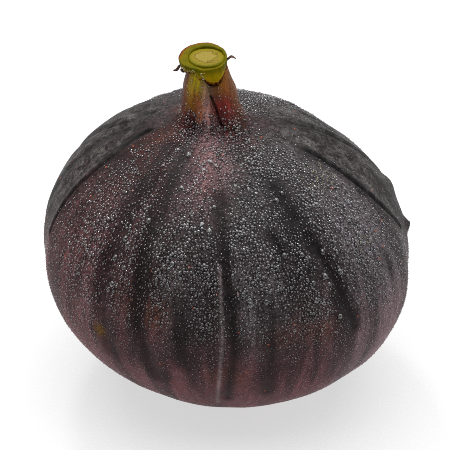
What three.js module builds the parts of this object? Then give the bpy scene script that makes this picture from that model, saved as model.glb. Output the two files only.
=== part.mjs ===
// A fresh black fig as picked, resting upright on its eye end, in millimetres with +Z up.
// Three pieces: the fruit with its neck, the stub of stalk that the knife left on it, and the
// torn collar of bracts that wraps the stub and hangs over the top of the neck.
// The origin is on the surface that the fig rests on, under the middle of its bounding box.
import * as THREE from "three";

// ---- Driving dimensions ---------------------------------------------------------------------
const BELLY_RADIUS = 27.2; // the fruit at its widest
const BELLY_HEIGHT = 21.4; // how far up the widest part is
const BELLY_RISE = 22.2; // the half height of the ellipse that the fruit follows above and below it
const HEEL_ANGLE = -66; // where that ellipse gives way to the flat foot, in degrees from level
const CROWN_ANGLE = 74; // where it turns up into the neck
const FOOT_RADIUS = 6.0; // outside of the flat ring that a ripe fig settles on
const EYE_RADIUS = 2.6; // the small opening at the far end from the stalk, inside that ring
const EYE_LIP = 0.7; // the width of its rounded rim
const EYE_DEPTH = 1.2;
const NECK_RADIUS = 3.35; // the neck at its top
const NECK_TOP = 50.5;
const NECK_TAPER = { length: 5.2, widening: 0.7 }; // how it widens below its top
const NECK_FILLET = 4; // how far the crown runs on inwards before it bends up into the neck
const STALK_RADIUS = 2.7; // the stub at its cut face
const STALK_TOP = 53.1;
const STALK_BEVEL = 0.25; // its cut edge has dried back a little
const COLLAR_TOP = 53.5; // the collar's lip stands a little over the cut face
const COLLAR_LIP = 0.7; // its mean thickness
const COLLAR_DROP = 1.0; // from the lip down to its edge, where it is shortest
const FLAP = { azimuth: -55, width: 60, length: 2.0 }; // the torn flap at the front right
const LOBE = { azimuth: 180, width: 55, length: 0.8 }; // and the short lobe at the left
const GAP = 0.3; // clear space between touching pieces

// The fruit grew leaning. Each level is moved along X: by a share of its height, and the neck
// by a little more, which starts just below the crown.
const LEAN = -0.066;
const NECK_BEND = -0.7;
const NECK_BEND_START = BELLY_HEIGHT + 16;

// The fruit isn't quite round: two and three broad lobes stand out by these heights in mm, and
// each set is turned by an angle in radians.
const LOBES = [
  { count: 2, height: 0.45, turn: 1.3 },
  { count: 3, height: -0.4, turn: -1.9 },
];

// The deeper folds of the skin, which run from the neck to the eye. Azimuths are in degrees,
// anticlockwise from +X, seen from above. Depths are in mm, and widths in degrees to each side.
const FOLDS = [
  { azimuth: -8, depth: 0.5, width: 10 },
  { azimuth: 38, depth: 0.35, width: 11 },
  { azimuth: 81, depth: 0.45, width: 10 },
  { azimuth: 128, depth: 0.4, width: 12 },
  { azimuth: 187, depth: 0.55, width: 10 },
  { azimuth: 238, depth: 0.3, width: 9 },
  { azimuth: 268, depth: 0.3, width: 9 },
  { azimuth: 318, depth: 0.3, width: 10 },
];

const FRUIT_SEGMENTS = 84;
const STALK_SEGMENTS = 36;
const COLLAR_SEGMENTS = 60;

// ---- Helpers --------------------------------------------------------------------------------
const { degToRad, lerp, mapLinear, smoothstep } = THREE.MathUtils;

// The angle between two azimuths in radians, from 0 to PI.
const turnBetween = (a, b) => Math.abs(Math.atan2(Math.sin(a - b), Math.cos(a - b)));

// A smooth hump over the azimuth: 1 at its middle, and 0 from width on. Both are in degrees.
const hump = (azimuth, middle, width) =>
  1 - smoothstep(turnBetween(azimuth, degToRad(middle)), 0, degToRad(width));

// The points of a path, with the given number of steps on each of its curves.
const pathPoints = (path, steps) =>
  path.curves.flatMap((curve, i) => curve.getPoints(steps[i]).slice(i === 0 ? 0 : 1));

// A LatheGeometry turns about Y. This stands it on Z, where azimuth 0 is +X and a quarter turn
// from it is +Y, and then moves each vertex with move(vertex, azimuth).
function turned(profile, segments, move) {
  const geometry = new THREE.LatheGeometry(profile, segments).rotateX(Math.PI / 2);
  const position = geometry.attributes.position;
  const vertex = new THREE.Vector3();
  for (let i = 0; i < position.count; i++) {
    vertex.fromBufferAttribute(position, i);
    move(vertex, Math.atan2(vertex.y, vertex.x));
    position.setXYZ(i, vertex.x, vertex.y, vertex.z);
  }
  geometry.computeVertexNormals();
  return geometry;
}

// Moves a vertex to where the lean of the fruit takes it.
function lean(vertex) {
  vertex.x += LEAN * vertex.z + NECK_BEND * smoothstep(vertex.z, NECK_BEND_START, NECK_TOP);
}

// ---- The fruit ------------------------------------------------------------------------------
// Half of the outline: from the axis inside the eye, round the belly and up the neck to the axis.
function fruitOutline() {
  const outline = new THREE.Path();
  outline.moveTo(0, EYE_DEPTH);
  outline.lineTo(EYE_RADIUS * 0.6, EYE_DEPTH);
  outline.quadraticCurveTo(EYE_RADIUS, EYE_DEPTH, EYE_RADIUS + EYE_LIP, 0);
  outline.lineTo(FOOT_RADIUS, 0);

  const belly = new THREE.EllipseCurve(
    0, BELLY_HEIGHT, BELLY_RADIUS, BELLY_RISE, degToRad(HEEL_ANGLE), degToRad(CROWN_ANGLE));
  const heel = belly.getPoint(0);
  const heelSlope = belly.getTangent(0);
  outline.quadraticCurveTo(heel.x - heel.y * heelSlope.x / heelSlope.y, 0, heel.x, heel.y);
  outline.curves.push(belly);

  const crown = belly.getPoint(1);
  const intoNeck = belly.getTangent(1).multiplyScalar(NECK_FILLET).add(crown);
  outline.currentPoint.copy(crown);
  outline.bezierCurveTo(
    intoNeck.x, intoNeck.y, NECK_RADIUS + NECK_TAPER.widening, NECK_TOP - NECK_TAPER.length,
    NECK_RADIUS, NECK_TOP);
  outline.lineTo(0, NECK_TOP);
  return pathPoints(outline, [1, 2, 2, 3, 22, 8, 1]);
}

// How far the skin stands out from the round outline, in mm: broad lobes, and the folds in them.
// Both fade out at the foot and up the neck.
function relief(height, azimuth) {
  const sum = (list, value) => list.reduce((total, item) => total + value(item), 0);
  const lobes = sum(LOBES, (lobe) => lobe.height * Math.cos(lobe.count * azimuth + lobe.turn));
  const folds = sum(FOLDS, (fold) => fold.depth * hump(azimuth, fold.azimuth, fold.width));
  const aboveFoot = smoothstep(height, 1, BELLY_HEIGHT / 2);
  const belowNeck = 1 - smoothstep(height, BELLY_HEIGHT + BELLY_RISE, NECK_TOP);
  return (lobes - folds) * aboveFoot * belowNeck;
}

function fruit() {
  return turned(fruitOutline(), FRUIT_SEGMENTS, (vertex, azimuth) => {
    const out = relief(vertex.z, azimuth);
    vertex.x += out * Math.cos(azimuth);
    vertex.y += out * Math.sin(azimuth);
    lean(vertex);
  });
}

// ---- The stub of stalk ----------------------------------------------------------------------
// The radius of the stub at a height, and of the top of the neck, which it grows from.
const stubRadius = (height) => mapLinear(height, NECK_TOP, STALK_TOP, NECK_RADIUS, STALK_RADIUS);

function stalk() {
  const bottom = NECK_TOP + GAP;
  const bevelStart = STALK_TOP - STALK_BEVEL;
  const outline = [
    new THREE.Vector2(0, bottom),
    new THREE.Vector2(stubRadius(bottom), bottom),
    new THREE.Vector2(stubRadius(bevelStart), bevelStart),
    new THREE.Vector2(STALK_RADIUS - STALK_BEVEL, STALK_TOP),
    new THREE.Vector2(0, STALK_TOP),
  ];
  return turned(outline, STALK_SEGMENTS, lean);
}

// ---- The collar of bracts -------------------------------------------------------------------
// The section of the collar's wall, one wide and one high, off from the axis by SECTION_OFFSET.
const SECTION_OFFSET = 10;

function collarSection() {
  const section = new THREE.Path();
  const inside = SECTION_OFFSET;
  const outside = SECTION_OFFSET + 1;
  section.moveTo(inside, 0);
  section.lineTo(inside + 0.5, 0);
  section.quadraticCurveTo(outside, 0, outside, 0.7);
  section.quadraticCurveTo(outside, 1, inside + 0.5, 1);
  section.quadraticCurveTo(inside, 1, inside, 0.85);
  section.lineTo(inside, 0);
  return pathPoints(section, [1, 3, 3, 3, 2]);
}

// The lip is thickest on the -X side, where the largest bract was.
const lipThickness = (azimuth) =>
  COLLAR_LIP - 0.35 * Math.cos(azimuth) + 0.1 * Math.sin(azimuth);

// How far the collar's ragged edge hangs below its lip.
function collarDrop(azimuth) {
  const flap = FLAP.length * hump(azimuth, FLAP.azimuth, FLAP.width);
  const lobe = LOBE.length * hump(azimuth, LOBE.azimuth, LOBE.width);
  const ragged = 0.12 * Math.sin(7 * azimuth + 1) + 0.08 * Math.sin(12 * azimuth);
  return COLLAR_DROP + flap + lobe + ragged;
}

function bractCollar() {
  const clearance = GAP + 0.03; // a little more than the gap, because both walls are faceted
  return turned(collarSection(), COLLAR_SEGMENTS, (vertex, azimuth) => {
    const across = Math.hypot(vertex.x, vertex.y) - SECTION_OFFSET;
    const height = lerp(COLLAR_TOP - collarDrop(azimuth), COLLAR_TOP, vertex.z);
    const radius = stubRadius(height) + clearance + across * lipThickness(azimuth);
    vertex.set(radius * Math.cos(azimuth), radius * Math.sin(azimuth), height);
    lean(vertex);
  });
}

// ---- The fig --------------------------------------------------------------------------------
function piece(name, geometry, color, roughness) {
  const mesh = new THREE.Mesh(geometry, new THREE.MeshStandardMaterial({ color, roughness, metalness: 0 }));
  mesh.name = name;
  return mesh;
}

const fig = new THREE.Group();
fig.add(piece("fruit", fruit(), 0x4d393b, 0.5));
fig.add(piece("stalk", stalk(), 0xcfc98c, 0.6));
fig.add(piece("bract_collar", bractCollar(), 0x8a9424, 0.55));

const middle = new THREE.Box3().setFromObject(fig).getCenter(new THREE.Vector3());
fig.position.set(-middle.x, -middle.y, 0);

export default fig;
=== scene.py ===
# %% [markdown]
# # A fresh black fig, wet with dew
#
# The fig comes as three solids: the fruit with its neck, the stub of stalk, and the torn collar
# of bracts round it. They fix every size and place. This script keeps those places and makes
# what the eye sees: skin with folds and streaks, the cut face, the ragged collar, and the dew.
# Heights are in mm over the table. Azimuths are in degrees: 0 is the right of the fruit, 90 its
# back, 180 its left and 270 its front.

# %% Load the frame
from collections import namedtuple
from math import atan2, cos, degrees, pi, radians, sin

import bmesh
import bpy
import numpy as np
from mathutils import Matrix, Vector, bvhtree, noise


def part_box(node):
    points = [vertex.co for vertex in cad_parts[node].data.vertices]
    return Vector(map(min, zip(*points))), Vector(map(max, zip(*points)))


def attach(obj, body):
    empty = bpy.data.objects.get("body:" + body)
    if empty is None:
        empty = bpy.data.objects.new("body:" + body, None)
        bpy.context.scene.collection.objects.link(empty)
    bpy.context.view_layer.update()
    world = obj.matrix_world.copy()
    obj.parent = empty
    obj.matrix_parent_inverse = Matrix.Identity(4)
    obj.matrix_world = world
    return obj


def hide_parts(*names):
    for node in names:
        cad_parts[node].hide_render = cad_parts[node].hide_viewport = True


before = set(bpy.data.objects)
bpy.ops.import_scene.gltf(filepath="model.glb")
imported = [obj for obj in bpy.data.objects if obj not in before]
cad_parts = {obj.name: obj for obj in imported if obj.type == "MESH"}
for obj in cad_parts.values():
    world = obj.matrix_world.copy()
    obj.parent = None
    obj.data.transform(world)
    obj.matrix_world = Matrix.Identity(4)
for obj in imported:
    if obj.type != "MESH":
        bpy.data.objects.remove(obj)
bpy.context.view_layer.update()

MM = 0.001
fruit_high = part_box("fruit")[1]

# %% [markdown]
# ## Camera, floor and light
#
# A fruit is mostly judged by its skin, so it is lit as on a studio table. The room is dim, so
# skin that faces the camera keeps its depth. A large softbox overhead lights the skin and the
# floor evenly. A small hot window high at the back makes each drop of dew sparkle, and a strip
# at each side lifts the edges. The floor is a light table that glows a little, which keeps the
# fig's shadow faint.

# %% The camera
VIEW_HEIGHT = radians(33.7)
VIEW_DISTANCE = 338 * MM
AIM = Vector((0.0, 1.8, 23.6)) * MM


def turned_to(eye, target):
    """The rotation that points a camera or light at eye towards target."""
    return (target - eye).to_track_quat("-Z", "Y").to_euler()


camera = bpy.data.objects.new("camera", bpy.data.cameras.new("camera"))
bpy.context.scene.collection.objects.link(camera)
camera.location = AIM + VIEW_DISTANCE * Vector((0, -cos(VIEW_HEIGHT), sin(VIEW_HEIGHT)))
camera.rotation_euler = turned_to(camera.location, AIM)
camera.data.lens = 180
bpy.context.scene.camera = camera

# A bead of dew is tiny, and a denoiser or a wide filter would smear it away.
bpy.context.scene.cycles.use_denoising = False
bpy.context.scene.cycles.filter_width = 1.0
print(f"camera: {VIEW_DISTANCE / MM:.0f} mm away, {degrees(VIEW_HEIGHT):.1f} degrees up")

# %% [markdown]
# ## Helpers
#
# Every piece ends as a mesh with a node material, so a few small functions serve them all. One
# adds a node together with its settings and links. The nodes that come up most often get their
# settings from a dictionary, because a material is then a short list of steps that reads in the
# order in which the paint goes on.

# %% Helpers for objects and materials
def linear(colour):
    """An sRGB hex colour as the linear RGBA that a shader reads."""
    parts = [int(colour[i:i + 2], 16) / 255 for i in (1, 3, 5)]
    return [c / 12.92 if c <= 0.04045 else ((c + 0.055) / 1.055) ** 2.4 for c in parts] + [1.0]


def add(tree, kind, **settings):
    """Adds a node. A setting is a property of the node or, where its name starts with in_, an
    input, which takes a value or the output that feeds it."""
    node = tree.nodes.new(kind)
    for name, value in settings.items():
        if not name.startswith("in_"):
            setattr(node, name, value)
            continue
        key = name[3:]
        socket = node.inputs[int(key) if key.isdigit() else key.replace("_", " ")]
        if isinstance(value, bpy.types.NodeSocket):
            tree.links.new(value, socket)
        else:
            socket.default_value = value
    return node


# The settings of the nodes that come up most often.
# LAY lays colour in_7 over colour in_6, as thickly as in_0 says. SPREAD turns a value that goes
# from in_1 to in_2 into one that goes smoothly from 0 to 1.
LAY = {"kind": "ShaderNodeMix", "data_type": "RGBA"}
SPREAD = {"kind": "ShaderNodeMapRange", "interpolation_type": "SMOOTHSTEP"}
TIMES = {"kind": "ShaderNodeMath", "operation": "MULTIPLY"}
PLUS = {"kind": "ShaderNodeMath", "operation": "ADD"}
NOISE = {"kind": "ShaderNodeTexNoise"}


def new_material(name):
    """A node material with nothing in it yet, and its tree."""
    material = bpy.data.materials.new(name)
    material.use_nodes = True
    material.node_tree.nodes.clear()
    return material, material.node_tree


def put_in_scene(mesh, name, material=None):
    """A new object at the origin that shows a mesh, smooth shaded, in one material."""
    mesh.materials.clear()
    if material:
        mesh.materials.append(material)
    mesh.shade_smooth()
    piece = bpy.data.objects.new(name, mesh)
    bpy.context.scene.collection.objects.link(piece)
    return piece


def piece_from(bm, name, material=None):
    """A new object from a bmesh, which is used up."""
    mesh = bpy.data.meshes.new(name)
    bm.normal_update()
    bm.to_mesh(mesh)
    bm.free()
    print(f"{name}: {len(mesh.polygons)} faces")
    return put_in_scene(mesh, name, material)


def evaluated_mesh(piece, name):
    """The mesh that a piece shows once its modifiers have run, as a mesh of its own."""
    shown = piece.evaluated_get(bpy.context.evaluated_depsgraph_get())
    mesh = bpy.data.meshes.new_from_object(shown)
    mesh.name = name
    return mesh


# %% The floor
# Opal acrylic, sand-blasted matt: it gives an even white with no shine and no edge. Light from
# below makes it glow by itself.
FLOOR_SIDE = 3.0
FLOOR_GRAIN = 10 / 9 * MM  # real blasting is ten times finer and wouldn't show

floor_material, tree = new_material("matt_white_acrylic_light_table")
grain = add(tree, **NOISE, in_Scale=1 / FLOOR_GRAIN, in_Detail=3.0)
floor_bump = add(tree, "ShaderNodeBump", in_Height=grain.outputs[0], in_Strength=0.05,
                 in_Distance=0.05 * MM)
surface = add(tree, "ShaderNodeBsdfPrincipled", in_Base_Color=linear("#8a8a8a"),
              in_Roughness=0.9, in_Specular_IOR_Level=0.0, in_Emission_Color=linear("#ffffff"),
              in_Emission_Strength=0.62, in_Normal=floor_bump.outputs[0])
add(tree, "ShaderNodeOutputMaterial", in_Surface=surface.outputs[0])

floor_bm = bmesh.new()
bmesh.ops.create_grid(floor_bm, x_segments=1, y_segments=1, size=FLOOR_SIDE / 2)
floor = piece_from(floor_bm, "floor", floor_material)

# %% The lights
# Each softbox: its name, its place and side in metres, and its power in watts.
Softbox = namedtuple("Softbox", "name place size power")
SOFTBOXES = [
    Softbox("top_softbox", (0.0, 0.10, 0.60), 0.9, 10.0),
    Softbox("back_window", (-0.15, 0.45, 0.60), 0.11, 2.0),
    Softbox("left_strip", (-0.6, 0.05, 0.30), 0.4, 0.8),
    Softbox("right_strip", (0.6, 0.10, 0.30), 0.4, 1.0),
]
ROOM = 0.12  # how bright the room is all round

for box in SOFTBOXES:
    light = bpy.data.lights.new(box.name, "AREA")
    light.shape = "SQUARE"
    light.size = box.size
    light.energy = box.power
    lamp = bpy.data.objects.new(box.name, light)
    lamp.location = box.place
    lamp.rotation_euler = turned_to(Vector(box.place), AIM)
    bpy.context.scene.collection.objects.link(lamp)

world = bpy.data.worlds.new("studio_room")
world.use_nodes = True
world.node_tree.nodes["Background"].inputs["Color"].default_value = (ROOM, ROOM, ROOM, 1)
bpy.context.scene.world = world
bpy.context.scene.view_settings.view_transform = "Standard"
print("lights:", ", ".join(f"{box.name} {box.power} W" for box in SOFTBOXES))

# %% [markdown]
# ## The skin: one mesh that follows the solid
#
# The skin of a fig is a thin leather over soft flesh. As it ripens it swells between the strands
# that feed it, so folds run from the neck to the eye like lines of longitude. A copy of the
# solid gives the true shape. Its triangles are joined back into quads and subdivided, because
# quads in rows along the fruit bend into folds without puckers. Only the strips that will carry
# a narrow fold are cut finer, which keeps the mesh light.

# %% Copy the fruit and make it fine
CLOSE = 0.01 * MM


def merged_copy(node):
    """The mesh of a solid with its loose triangles merged and joined into quads."""
    bm = bmesh.new()
    bm.from_mesh(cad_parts[node].data)
    bmesh.ops.remove_doubles(bm, verts=bm.verts, dist=CLOSE)
    bmesh.ops.join_triangles(bm, faces=bm.faces, angle_face_threshold=radians(40),
                             angle_shape_threshold=radians(60))
    return bm


rough_skin = piece_from(merged_copy("fruit"), "rough_skin")
smoothing = rough_skin.modifiers.new("smoothing", "SUBSURF")
smoothing.levels = smoothing.render_levels = 2
fine_mesh = evaluated_mesh(rough_skin, "fine_skin")

# %% [markdown]
# ## The neck runs up under the collar
#
# The neck's skin doesn't end where the stub begins: it runs on round the stub, a little narrower
# all the way, until the collar hides it. Smoothing rounded the top of the neck, which would show
# as a step under the collar. A second mesh round the stub would leave a seam, so the top
# millimetre of the same skin is stretched up instead. First the wall's radius all round is read
# from a narrow band at the sleeve's foot, and then each vertex of the wall goes back to it.

# %% Lengthen the neck's skin
SLEEVE_FOOT = 49.6 * MM
SLEEVE_TAPER = 0.80  # the sleeve's width at its top, as a share of that at its foot
WALL_BAND = 0.3 * MM  # the wall's radius is read this near the sleeve's foot
WALL_PART = 0.7  # nearer the middle than this share of the wall, a vertex belongs to the lid

stalk_low, stalk_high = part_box("stalk")
STALK = Vector(((stalk_low.x + stalk_high.x) / 2, (stalk_low.y + stalk_high.y) / 2, 0))
SLEEVE_TOP = stalk_high.z - 0.7 * MM
stretch = (SLEEVE_TOP - SLEEVE_FOOT) / (fruit_high.z - SLEEVE_FOOT)


def round_neck(point):
    """The azimuth in degrees and the distance of a point from the stalk's axis."""
    away = Vector((point.x, point.y, 0)) - STALK
    return degrees(atan2(away.y, away.x)), away.length


wall = [round_neck(vert.co) for vert in fine_mesh.vertices
        if abs(vert.co.z - SLEEVE_FOOT) < WALL_BAND]
wall_azimuths, wall_radii = zip(*wall)
for vert in fine_mesh.vertices:
    above = vert.co.z - SLEEVE_FOOT
    if above > 0:
        share = above / (fruit_high.z - SLEEVE_FOOT)
        azimuth, radius = round_neck(vert.co)
        wanted = np.interp(azimuth, wall_azimuths, wall_radii, period=360)
        scale = 1 - (1 - SLEEVE_TAPER) * share
        if radius > WALL_PART * wanted:
            scale *= wanted / radius
        vert.co.x = STALK.x + (vert.co.x - STALK.x) * scale
        vert.co.y = STALK.y + (vert.co.y - STALK.y) * scale
        vert.co.z = SLEEVE_FOOT + above * stretch
fine_mesh.update()
print("skin after smoothing:", len(fine_mesh.polygons), "faces")

# %% [markdown]
# ## A map of the folds
#
# Every fold, streak and scar is given by where it runs: a few points of azimuth round the fruit
# and height over the table. Rays shot outward from the leaning core put those points on the
# skin. A stroke then knows its distance to every point of the mesh, and the distance sets both
# the groove in the mesh and the dark streak in the colour, which is partly painted shade in the
# fold, so the two always agree.

# %% The core that azimuths are measured round
FOOT = Vector((1.3, -0.4, 0.0)) * MM
NECK = Vector((-2.8, -0.4, 50.5)) * MM
STROKE_STEPS = 24

skin_tree = bvhtree.BVHTree.FromPolygons([v.co.copy() for v in fine_mesh.vertices],
                                         [p.vertices[:] for p in fine_mesh.polygons])


def core_at(height):
    """The point of the leaning core at a height in mm."""
    return FOOT.lerp(NECK, height * MM / NECK.z)


def on_skin(azimuth, height):
    """The point of the skin at an azimuth in degrees and a height in mm."""
    way = Vector((cos(radians(azimuth)), sin(radians(azimuth)), 0))
    return skin_tree.ray_cast(core_at(height), way)[0]


def places(mesh):
    """Each vertex's position, azimuth in degrees and height in mm."""
    flat = np.empty(len(mesh.vertices) * 3)
    mesh.vertices.foreach_get("co", flat)
    co = flat.reshape(-1, 3)
    height = co[:, 2] / MM
    share = (co[:, 2] / NECK.z)[:, None]
    core = np.array(FOOT)[:2] * (1 - share) + np.array(NECK)[:2] * share
    azimuth = np.degrees(np.arctan2(co[:, 1] - core[:, 1], co[:, 0] - core[:, 0])) % 360
    return co, azimuth, height


def distance_to(co, route):
    """How far each point is from a route of points, in mm."""
    nearest = np.full(len(co), 1e3)
    for start, end in zip(route, route[1:]):
        along = np.array(end - start)
        share = np.clip((co - np.array(start)) @ along / max(along @ along, 1e-12), 0, 1)
        gap = np.linalg.norm(co - np.array(start) - share[:, None] * along, axis=1)
        nearest = np.minimum(nearest, gap / MM)
    return nearest


def route_of(points):
    """The points of a stroke laid on the skin, close enough to bend with it."""
    knots = np.linspace(0, 1, len(points))
    steps = np.linspace(0, 1, STROKE_STEPS)
    azimuths = np.interp(steps, knots, [p[0] for p in points])
    heights = np.interp(steps, knots, [p[1] for p in points])
    return [on_skin(a, h) for a, h in zip(azimuths, heights)]


# %% The folds at the front and sides
# Each stroke: its points, the groove's half width and depth in mm, the half width in mm of the
# dark streak along it, which is partly painted shade in the fold, and how dark that streak and
# shade are. A negative depth is a ridge.
Stroke = namedtuple("Stroke", "points width depth stain dark")
VEIN = [(271, 33), (271, 30.3), (270, 23.1), (268, 16.7), (265, 8.6)]
STROKES = [
    # Sharp creases high on the shoulders, left and right.
    Stroke([(187, 42), (195, 40), (196, 37.6), (195, 34.6), (195, 28.4)], 0.35, 0.40, 1.0, 1.0),
    Stroke([(155, 42), (164, 41), (161, 38.5)], 0.35, 0.25, 0.8, 0.8),
    Stroke([(342, 40.7), (342, 38.7), (343, 36), (346, 31.9), (351, 27.6)], 0.35, 0.40, 0.9, 1.0),
    Stroke([(332, 28.7), (331, 25.3)], 0.4, 0.2, 0.8, 0.7),
    # Soft valleys down the front.
    Stroke([(225, 42.4), (232, 40.3), (231, 38), (230, 26.7), (232, 17.3)], 0.9, 0.20, 1.5, 0.8),
    Stroke([(246, 42), (246, 39.2), (243, 34), (244, 24.5), (247, 14.9)], 0.8, 0.16, 1.6, 0.8),
    Stroke([(257, 28.6), (257, 18.4)], 0.7, 0.12, 1.4, 0.8),
    Stroke([(274, 39.6), (273, 37), (274, 23.3), (272, 17.4), (269, 10.7)], 0.6, 0.2, 1.2, 0.9),
    Stroke([(286, 28.3), (285, 19.4), (283, 12.8)], 0.7, 0.12, 1.3, 0.7),
    Stroke([(304, 39.9), (304, 36.7)], 0.5, 0.2, 1.3, 0.9),
    Stroke([(292, 35.8), (294, 33.9)], 0.5, 0.15, 1.0, 0.7),
    Stroke([(306, 34.9), (309, 29.5), (310, 25.4), (312, 21.6)], 0.8, 0.22, 1.7, 1.0),
    # A sharp crease across the neck and the dusty ridge beside it.
    Stroke([(278, 49.1), (287, 47.2), (290, 45.5), (293, 44.7)], 0.16, 0.22, 0.2, 1.0),
    Stroke([(267, 47.5), (264, 43.1), (267, 40.3)], 0.8, -0.25, 0.6, 0.0),
    # Pale ribs, raised a little, and one fine vein that stands up like a thread.
    Stroke([(246, 43.3), (238, 39.3), (239, 33.6)], 1.2, -0.18, 0.6, 0.0),
    Stroke([(256, 36.8), (257, 30)], 1.0, -0.12, 0.6, 0.0),
    Stroke([(317, 32.2), (318, 24.3)], 1.0, -0.12, 0.6, 0.0),
    Stroke(VEIN, 0.22, -0.14, 0.5, 0.0),
]

# %% The folds at the back
# They are much like the soft valleys at the front, and no two are alike.
BACK_FOLDS = 9
BACK_SEED = 7

rng = np.random.default_rng(BACK_SEED)
for azimuth in np.linspace(12, 178, BACK_FOLDS):
    azimuth = azimuth + rng.uniform(-4, 4)
    top, bottom = rng.uniform(38, 42), rng.uniform(12, 26)
    sway = rng.uniform(-4, 4, 3)
    route = [(azimuth + s, h) for s, h in zip(sway, (top, (top + bottom) / 2, bottom))]
    STROKES.append(Stroke(route, rng.uniform(0.6, 0.9), rng.uniform(0.1, 0.25),
                          rng.uniform(1.2, 1.7), rng.uniform(0.6, 0.9)))
print("strokes:", len(STROKES))

# %% Cut the mesh finer along narrow strokes
NARROW = 0.55  # mm; a stroke with a smaller half width needs a finer mesh
REACH = 1.3  # mm

routes = [route_of(stroke.points) for stroke in STROKES]
co = places(fine_mesh)[0]
near_narrow = np.full(len(co), False)
for stroke, route in zip(STROKES, routes):
    if stroke.width < NARROW:
        near_narrow |= distance_to(co, route) < REACH

skin_bm = bmesh.new()
skin_bm.from_mesh(fine_mesh)
skin_bm.verts.ensure_lookup_table()
strip = [e for e in skin_bm.edges if all(near_narrow[v.index] for v in e.verts)]
bmesh.ops.subdivide_edges(skin_bm, edges=strip, cuts=1, use_grid_fill=True, smooth=0.0)
bmesh.ops.triangulate(skin_bm, faces=[f for f in skin_bm.faces if len(f.verts) > 4])
skin_mesh = bpy.data.meshes.new("fig_skin")
skin_bm.to_mesh(skin_mesh)
skin_bm.free()
print("skin with fine strips:", len(skin_mesh.polygons), "faces,",
      sum(len(p.vertices) - 2 for p in skin_mesh.polygons), "triangles")

# %% Press the folds into the skin
BANK = 0.3  # how far the skin swells beside a groove, as a share of the groove's depth


def lumps(co, size, seed):
    """Smooth noise from -1 to 1 with lumps of about size mm."""
    shift = Vector((seed, 0, 0))
    scale = 1 / (size * MM)
    return np.array([noise.noise(Vector(c) * scale + shift) for c in co])


co, azimuth, height = places(skin_mesh)
skin_mesh.update()
normals = np.empty(len(skin_mesh.vertices) * 3)
skin_mesh.vertex_normals.foreach_get("vector", normals)
normals = normals.reshape(-1, 3)

# The push of each vertex along its normal, in mm. It starts from wide lumps and small dents.
push = 0.10 * lumps(co, 7, seed=1) + 0.03 * lumps(co, 2.2, seed=2)
# How dark each vertex is along the folds: the skin's dark streaks and painted shade in the folds,
# together.
stain = np.zeros(len(co))
fray, fray_fine = lumps(co, 3.2, seed=3), lumps(co, 0.9, seed=4)
for stroke, route in zip(STROKES, routes):
    gap = distance_to(co, route)
    push -= stroke.depth * np.exp(-(gap / stroke.width) ** 2)
    push += BANK * stroke.depth * np.exp(-((gap - 2 * stroke.width) / stroke.width) ** 2)
    frayed = gap * (1 + 0.7 * fray) + 0.35 * stroke.stain * fray_fine
    stain = np.maximum(stain, stroke.dark * np.exp(-(frayed / stroke.stain) ** 2))

# %% Swell the neck's base and raise the bumps
def swelling(side, lift, level, reach):
    """A push of lift mm round a level, fading over reach mm, as strong as side says."""
    return lift * side * np.exp(-((height - level) / reach) ** 2)


# The shoulder runs up into the neck in one sweep at the front, with no corner.
facing = (1 + np.cos(np.radians(azimuth - 265))) / 2
push += swelling(facing ** 2, 0.8, 45.2, 1.5)
# The neck flares a little more on the right than on the left.
right_side = np.clip(np.cos(np.radians(azimuth)), 0, 1)
left_side = np.clip(-np.cos(np.radians(azimuth)), 0, 1)
push += swelling(right_side, 0.4, 48.2, 1.8)
push += swelling(left_side, 0.25, 47.0, 1.5)

# Each bump: azimuth, height, radius and lift, all lengths in mm. A negative lift is a dent.
BUMPS = [(8, 30, 1.6, 0.5), (2, 24.6, 0.9, 0.8), (322, 32, 0.5, 0.35), (229, 21, 0.9, -0.35)]

for bump_azimuth, bump_height, radius, lift in BUMPS:
    gap = distance_to(co, [on_skin(bump_azimuth, bump_height)] * 2)
    push += lift * np.exp(-(gap / radius) ** 2)

skin_mesh.vertices.foreach_set("co", (co + push[:, None] * MM * normals).ravel())
print("skin pushed by", round(push.min(), 2), "to", round(push.max(), 2), "mm")

# %% [markdown]
# ## Where the skin is green, red, brown and pink
#
# A fig colours from the eye up, so the neck is the last part to ripen and is still green at the
# top, then orange, then wine red. The belly is browner on one side and pinker near the table.
# One gradient from top to bottom would miss all that differs from side to side. So these broad
# areas are washes of colour laid over each other on the vertices, as a painter would. Noise
# breaks their edges up, so no area ends in a clean line. A few washes paint light and shade as
# well: lighter edges low on the belly, a highlight on the neck's pale ridge, and shade in one
# hollow at the front.

# %% Washes of colour
GROUND = "#423c3d"
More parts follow.
